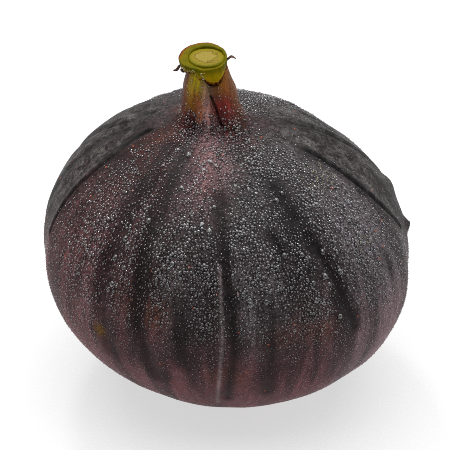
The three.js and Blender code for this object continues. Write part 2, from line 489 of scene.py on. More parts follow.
# Each wash: azimuth and height of its middle, half width in degrees, half height in mm, colour,
# and how much it covers.
Wash = namedtuple("Wash", "azimuth height width reach colour cover")
WASHES = [
    # The belly: brown on the left, pink near the table.
    Wash(208, 28, 42, 13, "#553534", 0.9),
    Wash(90, 22, 80, 16, "#473638", 0.8),
    Wash(270, 6, 180, 15, "#7c464b", 0.95),
    Wash(90, 6, 180, 12, "#6c4248", 0.95),
    # The next two washes are pink skin and painted light together: lighter edges low on the right
    # and the left, where the white table and the side lights brighten the fruit.
    Wash(322, 17, 16, 13, "#84686e", 0.95),
    Wash(203, 16, 16, 11, "#844245", 0.95),
    Wash(212, 24, 14, 8, "#7a4e50", 0.85),
    Wash(328, 30, 14, 8, "#6c6468", 0.9),
    # Paler ribs, and one dark patch of painted shade in a hollow between the folds at the front.
    Wash(284, 27, 7, 6, "#6c6467", 0.85),
    Wash(258, 29, 7, 5, "#665b5d", 0.85),
    Wash(226, 25, 7, 9, "#7a5356", 0.8),
    Wash(304, 38, 9, 5, "#292526", 0.8),
    # The shoulder below the neck.
    Wash(262, 42, 15, 3.6, "#7c5658", 0.9),
    Wash(248, 38.5, 12, 3.0, "#523f42", 0.7),
    Wash(210, 42.4, 30, 3.4, "#2f100e", 0.95),
    Wash(236, 39.5, 9, 2.8, "#3d1c1c", 0.8),
    Wash(300, 44.6, 16, 1.9, "#5c2220", 0.85),
    # The neck from its back round to the front.
    Wash(60, 45.2, 110, 1.8, "#4a2220", 0.85),
    Wash(60, 51.5, 120, 5.2, "#7a4e28", 0.95),
    Wash(315, 51.8, 36, 4.0, "#88500a", 0.95),
    Wash(304, 47.4, 30, 1.8, "#7c2a22", 0.95),
    Wash(334, 48.0, 14, 2.6, "#74482c", 0.8),
    Wash(296, 46.0, 12, 1.1, "#521c1e", 0.9),
    Wash(214, 50.0, 19, 6.5, "#74361f", 0.95),
    Wash(229, 45.2, 16, 2.4, "#54181a", 0.95),
    Wash(241, 52.8, 27, 3.9, "#c2a80a", 1.0),
    Wash(245, 48.2, 16, 1.4, "#8a4c08", 0.9),
    Wash(251, 46.6, 9, 1.9, "#a05c38", 0.85),
    Wash(264, 50.4, 9, 2.0, "#a8864e", 0.85),
    # The next two pale pink washes on the ridge down the neck's front are dusty skin and a
    # painted highlight on the ridge together.
    Wash(267, 46.3, 8, 3.6, "#c08a82", 0.95),
    Wash(270, 43.6, 18, 2.2, "#8c6668", 0.85),
    # Bruises and one yellow scar.
    Wash(247, 26.5, 7, 2.2, "#6e4030", 0.7),
    Wash(301, 22.8, 6, 2.0, "#6a4034", 0.6),
    Wash(287, 23.1, 6, 2.0, "#6a4034", 0.6),
    Wash(270, 16.7, 6, 2.4, "#6a4034", 0.6),
    Wash(229, 20.6, 2.0, 1.0, "#9a7024", 0.95),
]


def wash_weight(wash, ragged):
    """How much of a wash each vertex takes, from 0 to 1, with ragged edges."""
    around = np.abs((azimuth - wash.azimuth + 180) % 360 - 180) / wash.width
    upward = np.abs(height - wash.height) / wash.reach
    return wash.cover * np.exp(-(around ** 3 + upward ** 3) * (1 + 0.8 * ragged))


ragged = lumps(co, 3.0, seed=5)
painted = np.tile(linear(GROUND), (len(co), 1))
for wash in WASHES:
    weight = wash_weight(wash, ragged)[:, None]
    painted = painted * (1 - weight) + np.array(linear(wash.colour)) * weight

# The vein that stands up down the front is pale like a thread.
VEIN_HALF = 0.24  # mm
VEIN_COVER = 0.75
thread = np.exp(-(distance_to(co, route_of(VEIN)) / VEIN_HALF) ** 2)[:, None] * VEIN_COVER
painted = painted * (1 - thread) + np.array(linear("#9a8a8c")) * thread
print("washes:", len(WASHES))

# %% [markdown]
# ## Maps of bloom with painted sheen, and of dew
#
# The grey wax that dusts a fig rubs off wherever it is touched, so here it is whole only on the
# flanks, behind the sharp folds. Its grey there is also painted sheen, the grey shine that wax
# shows at the fruit's left and right edges. Dew is thickest where mist falls, on the shoulders,
# and thin in the dark streaks of the folds and near the table. Both could be painted by hand.
# Here each is worked out from azimuth and height, so it can be changed with one number, and is
# kept on the mesh as an attribute, which the skin's material and the scattering of the dew both
# read.

# %% Bloom and dew
def rise(value, low, high):
    """0 below low, 1 above high and smooth between."""
    share = np.clip((value - low) / (high - low), 0, 1)
    return share * share * (3 - 2 * share)


def between(start, end, soft):
    """1 from azimuth start to end, counter-clockwise, with soft ends, all in degrees."""
    middle, half = (start + end) / 2, (end - start) / 2
    away = np.abs((azimuth - middle + 180) % 360 - 180)
    return 1 - rise(away, half - soft / 2, half + soft / 2)


# Two dusty bands, one on each flank, fade out above and below. Their grey is the wax's bloom and
# painted sheen together.
left_band = between(135, 194, 6) * rise(height, 25, 30) * (1 - rise(height, 40.5, 42.5))
right_band = between(342, 405, 6) * rise(height, 27, 31) * (1 - rise(height, 41, 43))
bloom = np.maximum(left_band, right_band)
# Mist settles front and back, and slides off the dusty bands at the sides.
misty = np.maximum(between(205, 340, 60), 0.7 * between(20, 115, 40))
# How thickly the beads lie, from 0 to 1, and how large they grow, as a share of full size.
wet = rise(height, 4, 18) * (1 - 0.7 * rise(height, 45, 49.5)) * (0.25 + 0.75 * misty)
wet *= (1 - 0.45 * stain) * (1 - rise(height, 50.5, 51.5))
bead_size = (0.32 + 0.68 * misty * rise(height, 14, 33)) * (1 - 0.45 * bloom)
bead_size *= (1 - 0.55 * stain) * (1 - 0.35 * rise(height, 44, 47))
bead_size *= 1 + 0.25 * lumps(co, 4, seed=9)

for name, values in (("stain", stain), ("bloom", bloom), ("wet", wet), ("bead_size", bead_size)):
    skin_mesh.attributes.new(name, "FLOAT", "POINT").data.foreach_set("value", values)
    print(f"{name}: {values.min():.2f} to {values.max():.2f}, on average {values.mean():.2f}")
wash_layer = skin_mesh.attributes.new("wash", "FLOAT_COLOR", "POINT")
wash_layer.data.foreach_set("color", painted.ravel())

# %% [markdown]
# ## The skin's finish: ripe fig skin with a bloom of wax
#
# Fig skin is thin and leathery, coloured purple-black by pigment that lies in streaks over a
# browner ground, with a dull coat of wax. A picture wrapped round it would smear at the poles, so
# the pattern is noise. Three layers are stretched along the fruit: wide streaks, narrow streaks
# and fibres. They are worked out on a cylinder round the upright axis, so they run from neck to
# eye and meet behind without a seam. Blotches, specks, and small dark spots of painted shade that
# stand for the shade of the beads of dew are as wide as they are long.

# %% Ripe fig skin
# Wax over dark skin gives the eye deep colour and a soft, wide sheen with no hard highlight, so
# the shine is low and rough.
STREAK_WIDE = 3.0 * MM
STREAK_NARROW = 0.9 * MM
FIBRE = 0.28 * MM  # real fibres are half as wide and wouldn't show
STRETCH = 0.14  # lengthwise the pattern is this share as dense as it is round the fruit
BELT = 25 * MM  # the cylinder's radius, close to that of the fruit

skin_material, tree = new_material("ripe_fig_skin_waxy")
points = add(tree, "ShaderNodeTexCoord").outputs["Object"]
flat = add(tree, "ShaderNodeVectorMath", operation="MULTIPLY", in_0=points, in_1=(1, 1, 0))
outward = add(tree, "ShaderNodeVectorMath", operation="NORMALIZE", in_0=flat.outputs[0])
belt = add(tree, "ShaderNodeVectorMath", operation="SCALE", in_0=outward.outputs[0],
           in_Scale=BELT)
upward = add(tree, "ShaderNodeVectorMath", operation="MULTIPLY", in_0=points,
             in_1=(0, 0, STRETCH))
lengthwise = add(tree, "ShaderNodeVectorMath", operation="ADD", in_0=belt.outputs[0],
                 in_1=upward.outputs[0]).outputs[0]

wide = add(tree, **NOISE, in_Vector=lengthwise, in_Scale=1 / STREAK_WIDE).outputs[0]
wide = add(tree, **SPREAD, in_Value=wide, in_1=0.40, in_2=0.62).outputs[0]
narrow = add(tree, **NOISE, in_Vector=lengthwise, in_Scale=1 / STREAK_NARROW).outputs[0]
narrow = add(tree, **SPREAD, in_Value=narrow, in_1=0.35, in_2=0.65).outputs[0]
fibres = add(tree, **NOISE, in_Vector=lengthwise, in_Scale=1 / FIBRE, in_Detail=3.0).outputs[0]

# %% Wax, streaks and blotches
BLOTCH = 1.6 * MM
PORE_AND_BEAD_SHADE = 0.45 * MM


def layered(tree, colour, layers):
    """A colour with layers laid over it, each as where it lies, how strongly, and its colour."""
    for where, strength, tint in layers:
        amount = add(tree, **TIMES, in_0=where, in_1=strength).outputs[0]
        colour = add(tree, **LAY, in_0=amount, in_6=colour, in_7=linear(tint)).outputs[2]
    return colour


blotches = add(tree, **NOISE, in_Vector=points, in_Scale=1 / BLOTCH, in_Detail=4.0).outputs[0]
blotches = add(tree, **SPREAD, in_Value=blotches, in_1=0.35, in_2=0.65).outputs[0]
# This noise gives both the pores in the relief and small dark spots of painted shade that stand
# for the shade the beads of dew cast on the skin.
pores_and_bead_shade = add(tree, **NOISE, in_Vector=points, in_Scale=1 / PORE_AND_BEAD_SHADE, in_Detail=3.0).outputs[0]
painted_bead_shade = add(tree, **SPREAD, in_Value=pores_and_bead_shade, in_1=0.42, in_2=0.62).outputs[0]

wash_here = add(tree, "ShaderNodeAttribute", attribute_name="wash").outputs["Color"]
bloom_and_sheen_here = add(tree, "ShaderNodeAttribute", attribute_name="bloom").outputs["Fac"]
# The dark streaks along the folds, partly painted shade in the folds.
streak_and_shade_here = add(tree, "ShaderNodeAttribute", attribute_name="stain").outputs["Fac"]
tall = add(tree, "ShaderNodeSeparateXYZ", in_0=points).outputs[2]
# Streaks grow stronger towards the table. The small dark spots of painted shade grow stronger
# towards the shoulder, where the dew is, but not on the neck.
low_down = add(tree, "ShaderNodeMapRange", in_Value=tall, in_1=40 * MM, in_2=26 * MM, in_3=0.2,
               in_4=0.6).outputs[0]
high_up = add(tree, "ShaderNodeMapRange", in_Value=tall, in_1=14 * MM, in_2=32 * MM, in_3=0.25,
              in_4=0.72).outputs[0]
below_neck = add(tree, "ShaderNodeMapRange", in_Value=tall, in_1=44 * MM, in_2=48 * MM,
                 in_3=1.0, in_4=0.35).outputs[0]
bead_shade_amount = add(tree, **TIMES, in_0=high_up, in_1=below_neck).outputs[0]

# The grey laid on the flanks is the wax's bloom and painted sheen together: the grey shine of wax
# at the fruit's left and right edges.
dust_and_sheen = add(tree, **LAY, in_0=blotches, in_6=linear("#5a5956"), in_7=linear("#2a2826")).outputs[2]
dust_and_sheen_amount = add(tree, **TIMES, in_0=bloom_and_sheen_here, in_1=0.75).outputs[0]
colour = add(tree, **LAY, in_0=dust_and_sheen_amount, in_6=wash_here, in_7=dust_and_sheen).outputs[2]
# Pigment, and painted shade: the dark streak of each fold is partly shade in the fold, and the
# small dark spots stand for the shade of the dew.
PIGMENT_AND_SHADE = [(wide, low_down, "#150f11"), (narrow, 0.28, "#0e0a0b"), (blotches, 0.18, "#120c0e"),
           (painted_bead_shade, bead_shade_amount, "#0a0607"), (streak_and_shade_here, 0.85, "#060405")]
colour = layered(tree, colour, PIGMENT_AND_SHADE)

# %% Specks, roughness and relief
# Pores and tiny injuries show as orange-red specks about 0.3 mm wide.
SPECK_SPACING = 2.6 * MM
SPECK_PART = 0.055  # a speck's radius as a share of the spacing

specks = add(tree, "ShaderNodeTexVoronoi", in_Vector=points, in_Scale=1 / SPECK_SPACING)
speck = add(tree, "ShaderNodeMath", operation="LESS_THAN", in_0=specks.outputs["Distance"],
            in_1=SPECK_PART).outputs[0]
colour = add(tree, **LAY, in_0=speck, in_6=colour, in_7=linear("#94452f")).outputs[2]
relief = add(tree, **PLUS, in_0=fibres, in_1=pores_and_bead_shade).outputs[0]
bump = add(tree, "ShaderNodeBump", in_Height=relief, in_Strength=0.35, in_Distance=0.06 * MM)
surface = add(tree, "ShaderNodeBsdfPrincipled", in_Base_Color=colour, in_Roughness=0.55,
              in_Specular_IOR_Level=0.10, in_Normal=bump.outputs[0])
add(tree, "ShaderNodeOutputMaterial", in_Surface=surface.outputs[0])

# %% Put the skin in the scene
bpy.data.objects.remove(rough_skin)
fig_skin = put_in_scene(skin_mesh, "fig_skin", skin_material)
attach(fig_skin, "root")
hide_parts("fruit")

# %% [markdown]
# ## The cut stub of stalk
#
# The stalk was cut with a knife, so its end is one almost flat face, a little uneven, that rounds
# off over the bark's edge. A cylinder could stand for it, but its edge would be a hard line. The
# stub is turned from one profile instead, because a stem is round, and noise then takes the
# perfect circle away. Its foot is hidden inside the collar, so it goes straight down.

# %% Turn the stub
STALK_FOOT = (stalk_high.x - stalk_low.x) / 2  # the radius of the solid's stub at its foot
STALK_RADIUS = 2.5 * MM
FACE = stalk_high.z
PROUD = 0.45 * MM  # the cut stands above the solid's face, so the collar's lip doesn't hide it
TURNS = 72
# The profile from the middle of the face, over the bark's edge and down inside the collar, as
# (radius, height over the cut face).
STUB_PROFILE = [
    (0.0, 0.06 * MM), (0.8 * MM, 0.05 * MM), (1.5 * MM, 0.08 * MM), (2.0 * MM, 0.02 * MM),
    (2.3 * MM, 0.04 * MM), (2.5 * MM, -0.02 * MM), (2.6 * MM, -0.15 * MM),
    (2.6 * MM, -1.6 * MM), (0.0, -1.6 * MM),
]


def spun(profile, steps):
    """A closed solid turned from a profile of (radius, height) round the stalk's axis."""
    bm = bmesh.new()
    verts = [bm.verts.new((r, 0, FACE + PROUD + z)) for r, z in profile]
    edges = [bm.edges.new(pair) for pair in zip(verts, verts[1:])]
    bmesh.ops.spin(bm, geom=verts + edges, cent=(0, 0, 0), axis=(0, 0, 1), angle=2 * pi,
                   steps=steps, use_merge=True)
    bmesh.ops.remove_doubles(bm, verts=bm.verts, dist=CLOSE)
    bmesh.ops.recalc_face_normals(bm, faces=bm.faces)
    return bm


stub_bm = spun(STUB_PROFILE, TURNS)
for vert in stub_bm.verts:
    wobble = noise.noise(vert.co / (1.6 * MM)) * 0.05 * MM
    vert.co += Vector((vert.co.x, vert.co.y, 0)).normalized() * wobble
    vert.co.z += noise.noise(vert.co / (0.9 * MM)) * 0.04 * MM
bmesh.ops.translate(stub_bm, verts=stub_bm.verts, vec=STALK)

# %% [markdown]
# ## The finish of the cut: fresh fig stem
#
# A cut stem shows its rings: cream pith in the middle, a wavy ring of sap vessels, and green
# flesh out to the bark. Each ring could be a face of its own, but then its edge would be sharp.
# Here the distance from the axis, made wavy by noise, says which tissue lies where, so one ring
# melts into the next.

# %% Freshly cut fig stem
# A cut that has begun to dry gives the eye clear colour with hardly any shine.
PITH_EDGE = 1.3 * MM
VESSEL_RING = 1.6 * MM
VESSEL_HALF = 0.18 * MM
FLESH_EDGE = 2.1 * MM
BARK_OUTSIDE = 2.45 * MM
WAVE = 1.0 * MM
TISSUE_GRAIN = 0.3 * MM

stub_material, tree = new_material("fresh_cut_fig_stem")
points = add(tree, "ShaderNodeTexCoord").outputs["Object"]
centred = add(tree, "ShaderNodeVectorMath", operation="SUBTRACT", in_0=points, in_1=STALK)
level = add(tree, "ShaderNodeVectorMath", operation="MULTIPLY", in_0=centred.outputs[0],
            in_1=(1, 1, 0))
radius = add(tree, "ShaderNodeVectorMath", operation="LENGTH",
             in_0=level.outputs[0]).outputs["Value"]
waver = add(tree, **NOISE, in_Vector=points, in_Scale=1 / WAVE).outputs[0]
waver = add(tree, "ShaderNodeMath", operation="SUBTRACT", in_0=waver, in_1=0.5).outputs[0]
waver = add(tree, **TIMES, in_0=waver, in_1=2.2 * MM).outputs[0]
wavy_radius = add(tree, **PLUS, in_0=radius, in_1=waver).outputs[0]

off_ring = add(tree, "ShaderNodeMath", operation="SUBTRACT", in_0=wavy_radius, in_1=VESSEL_RING)
off_ring = add(tree, "ShaderNodeMath", operation="ABSOLUTE", in_0=off_ring.outputs[0]).outputs[0]
tissue = add(tree, **NOISE, in_Vector=points, in_Scale=1 / TISSUE_GRAIN,
             in_Detail=3.0).outputs[0]

beyond_pith = add(tree, **SPREAD, in_Value=wavy_radius, in_1=PITH_EDGE,
                  in_2=FLESH_EDGE).outputs[0]
on_ring = add(tree, **SPREAD, in_Value=off_ring, in_1=VESSEL_HALF, in_2=0.0).outputs[0]
in_bark = add(tree, **SPREAD, in_Value=radius, in_1=FLESH_EDGE, in_2=BARK_OUTSIDE).outputs[0]
# The tissues that lie over the cream pith.
TISSUE = [(beyond_pith, 1.0, "#6d610e"), (on_ring, 0.9, "#4e3c04"), (in_bark, 1.0, "#5a5601"),
          (tissue, 0.2, "#5a4a08")]
colour = layered(tree, linear("#7b6d2e"), TISSUE)

bump = add(tree, "ShaderNodeBump", in_Height=tissue, in_Strength=0.5, in_Distance=0.08 * MM)
surface = add(tree, "ShaderNodeBsdfPrincipled", in_Base_Color=colour, in_Roughness=0.5,
              in_Specular_IOR_Level=0.05, in_Normal=bump.outputs[0])
add(tree, "ShaderNodeOutputMaterial", in_Surface=surface.outputs[0])

stalk_stub = piece_from(stub_bm, "stalk_stub", stub_material)
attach(stalk_stub, "root")
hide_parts("stalk")

# %% [markdown]
# ## The torn collar
#
# Where the fig was pulled from the twig, the skin tore and curled outward into a thick green lip.
# It is widest at the left, and at the front right a flap of it hangs down over the neck with a
# ragged edge that dried almost black. It could be sculpted by hand. Here it is spun from one
# section in plain units, out from 0 to 1 and up from 0 to 1, and each vertex is then put where
# its azimuth says: how low the torn edge hangs there, and how thick the lip is. The section and
# two short tables hold the whole shape, so it is easy to change. Here azimuths run from -180 to
# 180, as atan2 gives them, so the front is at -90.

# %% The collar's section, torn edge and lip
RIM_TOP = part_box("bract_collar")[1].z
COLLAR_TURNS = 144
CURL_SHIFT = Vector((7, 0, 0))  # reads the noise elsewhere than the tear does
SECTION = [(0.0, 0.0), (0.0, 0.3), (0.0, 0.65), (0.02, 0.86), (0.12, 0.93), (0.35, 0.96),
           (0.7, 0.99), (0.9, 1.0), (1.0, 0.93), (1.0, 0.76), (0.96, 0.54), (0.86, 0.34),
           (0.68, 0.16), (0.45, 0.04), (0.2, -0.02)]
# Where the torn edge hangs, as (azimuth, mm under the cut face).
TORN_EDGE = [(-180, 1.5), (-160, 1.4), (-140, 0.9), (-121, 0.9), (-113, 1.45), (-98, 1.6),
             (-87, 2.1), (-75, 2.4), (-62, 2.35), (-51, 2.0), (-38, 1.5), (-26, 1.0), (0, 0.8),
             (60, 1.1), (120, 1.2), (150, 1.4), (180, 1.5)]
# How thick the lip is, as (azimuth, mm).
LIP = [(-180, 1.5), (-150, 1.35), (-120, 0.9), (-90, 0.75), (-50, 0.65), (-20, 0.42), (10, 0.38),
       (50, 0.6), (90, 1.0), (130, 1.2), (180, 1.5)]


def looked_up(table, azimuth):
    """The value that a table of (azimuth, value) gives at an azimuth in degrees."""
    return np.interp(azimuth, [row[0] for row in table], [row[1] for row in table])


# %% Spin and place the collar
def collar_place(azimuth, out, up):
    """The radius and height of a point of the collar's section at an azimuth in degrees."""
    turn = Vector((cos(radians(azimuth)), sin(radians(azimuth)), 0))
    tear = 0.18 * noise.noise(turn * 5.0) + 0.20 * noise.noise(turn * 16.0)
    lowest = FACE - (looked_up(TORN_EDGE, azimuth) + tear) * MM
    curl = 0.12 * noise.noise(turn * 3.0 + CURL_SHIFT)
    rim = RIM_TOP + (curl + 0.2) * MM + 0.35 * MM * sin(radians(azimuth))
    height = lowest + up * (rim - lowest)
    # Low down the collar lies on the flaring neck, and high up it hugs the stub.
    below = min(max((FACE - height) / (3.0 * MM), 0.0), 1.0)
    inner = STALK_RADIUS + 0.02 * MM + below * (STALK_FOOT - STALK_RADIUS + 0.25 * MM)
    thick = looked_up(LIP, azimuth) * MM * (0.45 + 0.55 * rise(up, 0.2, 0.7))
    return inner + out * thick, height


collar_bm = bmesh.new()
ring_verts = [collar_bm.verts.new((1 + out, 0, up)) for out, up in SECTION]
next_verts = ring_verts[1:] + ring_verts[:1]
ring_edges = [collar_bm.edges.new(pair) for pair in zip(ring_verts, next_verts)]
bmesh.ops.spin(collar_bm, geom=ring_verts + ring_edges, cent=(0, 0, 0), axis=(0, 0, 1),
               angle=2 * pi, steps=COLLAR_TURNS, use_merge=True)
bmesh.ops.remove_doubles(collar_bm, verts=collar_bm.verts, dist=1e-5)
bmesh.ops.recalc_face_normals(collar_bm, faces=collar_bm.faces)

# The attribute torn is 1 where the skin tore and dried, and the material turns it brown there.
torn = collar_bm.verts.layers.float.new("torn")
for vert in collar_bm.verts:
    azimuth = degrees(atan2(vert.co.y, vert.co.x))
    out, up = Vector((vert.co.x, vert.co.y)).length - 1, vert.co.z
    # The low edge dried through on the flap and less elsewhere, the rim at the back and left.
    flap = 1 - rise(abs(azimuth + 55), 45, 55)
    back = rise(abs(azimuth + 60), 95, 130)
    low_edge = (1 - rise(up, 0.08, 0.36)) * max(flap, 0.6)
    top_edge = rise(up, 0.86, 0.94) * rise(out, 0.55, 0.85) * back
    vert[torn] = max(low_edge, top_edge)
    radius, height = collar_place(azimuth, out, up)
    pucker = 0.05 * MM * noise.noise(Vector((azimuth / 9, out * 2, up * 2)))
    radius += pucker
    turn = Vector((cos(radians(azimuth)), sin(radians(azimuth)), 0))
    vert.co = STALK + turn * radius + Vector((0, 0, height))

# %% [markdown]
# ## The collar's finish: torn green fig skin
#
# The collar is unripe skin, so it is green, in soft patches. Where it tore, it dried: first a
# brown band and then an edge that is almost black. A line painted along the edge would be too
# even. Here the attribute that says how near the tear is gets the noise of the skin's cells
# added to it, so the dry edge is jagged like a real one.

# %% Torn green fig skin
# Soft living skin gives the eye a matt green without highlights, so it has almost no shine.
PATCH = 1.2 * MM
CELL = 0.25 * MM  # real cells are five times smaller and wouldn't show

collar_material, tree = new_material("torn_green_fig_skin")
points = add(tree, "ShaderNodeTexCoord").outputs["Object"]
patches = add(tree, **NOISE, in_Vector=points, in_Scale=1 / PATCH, in_Detail=3.0).outputs[0]
patches = add(tree, **SPREAD, in_Value=patches, in_1=0.35, in_2=0.65).outputs[0]
cells = add(tree, **NOISE, in_Vector=points, in_Scale=1 / CELL).outputs[0]

# The flap is yellower and lighter than the rim.
tall = add(tree, "ShaderNodeSeparateXYZ", in_0=points).outputs[2]
on_flap = add(tree, **SPREAD, in_Value=tall, in_1=RIM_TOP - 0.3 * MM, in_2=RIM_TOP - 1.5 * MM)
rim_green = add(tree, **LAY, in_0=patches, in_6=linear("#4c4b01"), in_7=linear("#5c5302"))
flap_green = add(tree, **LAY, in_0=patches, in_6=linear("#8f7a01"), in_7=linear("#a08402"))
colour = add(tree, **LAY, in_0=on_flap.outputs[0], in_6=rim_green.outputs[2],
             in_7=flap_green.outputs[2]).outputs[2]
torn_here = add(tree, "ShaderNodeAttribute", attribute_name="torn").outputs["Fac"]
jagged = add(tree, "ShaderNodeMath", operation="MULTIPLY_ADD", in_0=cells, in_1=0.7, in_2=-0.35)
edge = add(tree, **PLUS, in_0=torn_here, in_1=jagged.outputs[0]).outputs[0]
browned = add(tree, **SPREAD, in_Value=edge, in_1=0.35, in_2=0.6).outputs[0]
blackened = add(tree, **SPREAD, in_Value=edge, in_1=0.75, in_2=0.92).outputs[0]
CHANGES = [(cells, 0.25, "#3c3502"), (browned, 1.0, "#6b3c06"), (blackened, 1.0, "#150703")]
colour = layered(tree, colour, CHANGES)

bump = add(tree, "ShaderNodeBump", in_Height=cells, in_Strength=0.5, in_Distance=0.08 * MM)
surface = add(tree, "ShaderNodeBsdfPrincipled", in_Base_Color=colour, in_Roughness=0.55,
              in_Specular_IOR_Level=0.03, in_Normal=bump.outputs[0])
add(tree, "ShaderNodeOutputMaterial", in_Surface=surface.outputs[0])

torn_collar = piece_from(collar_bm, "torn_collar", collar_material)
collar_smoothing = torn_collar.modifiers.new("smoothing", "SUBSURF")
collar_smoothing.levels = collar_smoothing.render_levels = 1
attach(torn_collar, "root")
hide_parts("bract_collar")

# %% [markdown]
# ## Dried whiskers
#
# Strips of bract that tore off the collar dried into dark curls, two at the left and one at the
# right. A curve with a bevel would make each one too, but with ends that need closing. Here a
# small disc is extruded along a bent route and scaled to each point's thickness, and both ends
# stay closed.

# %% Dried bract
# Dead leaf gives the eye dark brown with lighter wrinkles, and little shine.
WRINKLE = 0.2 * MM

whisker_material, tree = new_material("dried_bract")
points = add(tree, "ShaderNodeTexCoord").outputs["Object"]
wrinkles = add(tree, **NOISE, in_Vector=points, in_Scale=1 / WRINKLE).outputs[0]
wrinkles = add(tree, **SPREAD, in_Value=wrinkles, in_1=0.4, in_2=0.65).outputs[0]
colour = add(tree, **LAY, in_0=wrinkles, in_6=linear("#140603"), in_7=linear("#5a2c0c"))
surface = add(tree, "ShaderNodeBsdfPrincipled", in_Base_Color=colour.outputs[2],
              in_Roughness=0.6)
add(tree, "ShaderNodeOutputMaterial", in_Surface=surface.outputs[0])

# %% Curl the whiskers
# Each whisker: its route as (right, away, up) in mm from the middle of the solid's cut face, and
# its radius at each point in mm.
WHISKERS = {
    "whisker_left": ([(-3.7, -0.6, -0.4), (-4.0, -0.7, -0.8), (-4.1, -0.75, -1.05),
                      (-4.4, -0.8, -1.25), (-4.75, -0.8, -1.3)], [0.20, 0.24, 0.23, 0.27, 0.12]),
    "whisker_left_low": ([(-3.6, -0.9, -0.8), (-3.5, -1.1, -1.15), (-3.15, -1.3, -1.35)],
                         [0.20, 0.27, 0.16]),
    "whisker_right": ([(2.7, 0.1, -0.15), (3.0, 0.1, 0.1), (3.35, 0.15, 0.5),
                       (3.7, 0.2, 0.45), (4.15, 0.2, 0.1)], [0.20, 0.18, 0.18, 0.32, 0.22]),
}
WHISKER_SIDES = 8


def whisker(route, sizes):
    """A tapered strip that follows a route, closed at both ends."""
    bm = bmesh.new()
    route = [STALK + Vector((0, 0, FACE)) + Vector(point) * MM for point in route]
    bmesh.ops.create_circle(bm, cap_ends=True, segments=WHISKER_SIDES, radius=sizes[0] * MM)
    way = (route[1] - route[0]).to_track_quat("Z", "Y").to_matrix()
    bmesh.ops.transform(bm, matrix=Matrix.Translation(route[0]) @ way.to_4x4(), verts=bm.verts)
    face = bm.faces[:][0]
    for place, before, size, size_before in zip(route[1:], route, sizes[1:], sizes):
        made = bmesh.ops.extrude_face_region(bm, geom=[face])["geom"]
        tip = [part for part in made if isinstance(part, bmesh.types.BMFace)][0]
        if face.is_valid and before is not route[0]:
            bm.faces.remove(face)
        bmesh.ops.translate(bm, verts=tip.verts, vec=place - before)
        centre = tip.calc_center_median()
        bmesh.ops.scale(bm, verts=tip.verts, vec=Vector((1, 1, 1)) * (size / size_before),
                        space=Matrix.Translation(-centre))
        face = tip
    bmesh.ops.recalc_face_normals(bm, faces=bm.faces)
    return bm


for name, (route, sizes) in WHISKERS.items():
    curl = piece_from(whisker(route, sizes), name, whisker_material)
    smoothing = curl.modifiers.new("smoothing", "SUBSURF")
    smoothing.levels = smoothing.render_levels = 2
    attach(curl, "root")

# %% [markdown]
# ## Crumbs of latex
#
# Fig sap is white latex. It wells up where the skin tears and dries as pale crumbs, most of them
# on the front left of the collar and a few on the flap. Noise in the collar's colour would give
# specks with no height, so each crumb is a small sphere, pushed out of shape and laid on the
# collar's own surface.

# %% Dried latex
# Dried latex gives the eye a cream that yellows in places, with the faint shine of rubber.
LATEX_PATCH = 0.3 * MM

latex_material, tree = new_material("dried_latex")
points = add(tree, "ShaderNodeTexCoord").outputs["Object"]
milk = add(tree, **NOISE, in_Vector=points, in_Scale=1 / LATEX_PATCH).outputs[0]
milk = add(tree, **SPREAD, in_Value=milk, in_1=0.35, in_2=0.65).outputs[0]
colour = add(tree, **LAY, in_0=milk, in_6=linear("#aaa176"), in_7=linear("#8a7f30"))
surface = add(tree, "ShaderNodeBsdfPrincipled", in_Base_Color=colour.outputs[2],
              in_Roughness=0.4, in_Specular_IOR_Level=0.3)
add(tree, "ShaderNodeOutputMaterial", in_Surface=surface.outputs[0])

# %% Lay the crumbs on the collar
LATEX_SEED = 21
# Where crumbs lie, as the first and last azimuth of a stretch and how many lie there.
LATEX_STRETCHES = [(-165, -118, 32), (-110, -92, 12)]

latex_bm = bmesh.new()
rng = np.random.default_rng(LATEX_SEED)
stretches = [(start, end) for start, end, count in LATEX_STRETCHES for _ in range(count)]
for crumb, (start, end) in enumerate(stretches):
    azimuth = rng.uniform(start, end)
    up = rng.uniform(0.15, 0.75)
    radius, height = collar_place(azimuth, 0.75 + 0.3 * up, up)
    turn = Vector((cos(radians(azimuth)), sin(radians(azimuth)), 0))
    size = rng.uniform(0.06, 0.15) * MM
    crumb_verts = bmesh.ops.create_icosphere(latex_bm, subdivisions=2, radius=size)["verts"]
    for vert in crumb_verts:
        vert.co *= 1 + 0.35 * noise.noise(vert.co / size + Vector((crumb, 0, 0)))
        vert.co.z *= 0.7
    bmesh.ops.translate(latex_bm, verts=crumb_verts,
                        vec=STALK + turn * radius + Vector((0, 0, height)))
latex = piece_from(latex_bm, "dried_latex", latex_material)
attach(latex, "root")

# %% [markdown]
# ## Dried trails on the shoulder
#
# Where sap dripped on the right shoulder and dried, it left small grey crescents that stand up
# from the skin. A drawn line would lie flat, so each is a small sphere, stretched, bent and half
# sunk. Rays from the core find the folded skin and its slope, so every one rests on it.

# %% Lay a shape on the folded skin
folded_tree = bvhtree.BVHTree.FromPolygons([v.co.copy() for v in skin_mesh.vertices],
                                           [p.vertices[:] for p in skin_mesh.polygons])


def resting(azimuth, height, shape, turn=0.0):
    """The matrix that lays a shape, scaled by a vector, on the folded skin."""
    way = Vector((cos(radians(azimuth)), sin(radians(azimuth)), 0))
    place, normal = folded_tree.ray_cast(core_at(height), way)[:2]
    upright = normal.to_track_quat("Z", "Y").to_matrix().to_4x4()
    return (Matrix.Translation(place) @ upright @ Matrix.Rotation(turn, 4, "Z")
            @ Matrix.Diagonal((*shape, 1)))


# %% Dried grey sap
# Old sap gives the eye a dull grey crust, darker where it is thin.
CRUST = 0.4 * MM

